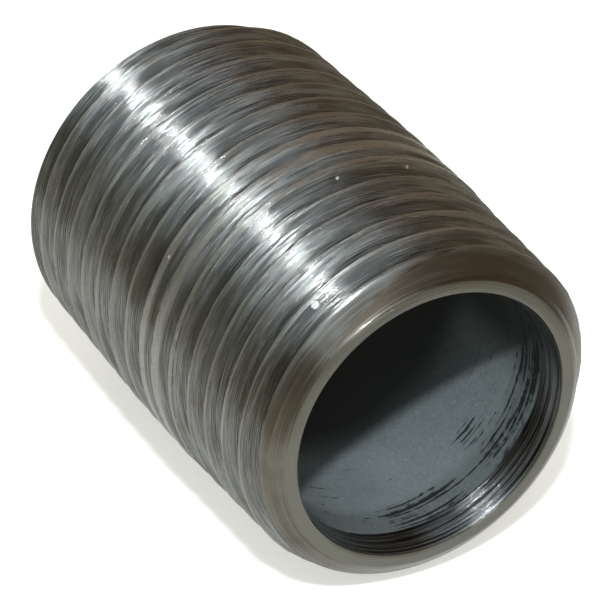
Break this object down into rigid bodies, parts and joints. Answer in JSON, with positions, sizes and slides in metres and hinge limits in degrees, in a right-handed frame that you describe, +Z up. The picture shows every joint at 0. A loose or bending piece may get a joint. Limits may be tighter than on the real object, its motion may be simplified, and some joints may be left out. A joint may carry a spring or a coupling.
{
  "type": "close pipe nipple",
  "caption": "Short steel pipe coupling with tapered male pipe threads cut in from both ends until they meet, chamfered ends and an open bore.",
  "frame": {"origin": "on the surface that the nipple lies on, under the middle of its length", "axes": "+X along the pipe's axis towards the mouth that the picture shows, +Z up, +Y to the left of somebody looking along +X"},
  "size_m": [0.0286, 0.0214, 0.0213],
  "materials": {
    "threaded_steel": "bare machined steel with turning marks, a thin film of oil and a scaled grey bore"
  },
  "bodies": {
    "root": {"close_nipple": "threaded_steel"}
  },
  "joints": []
}
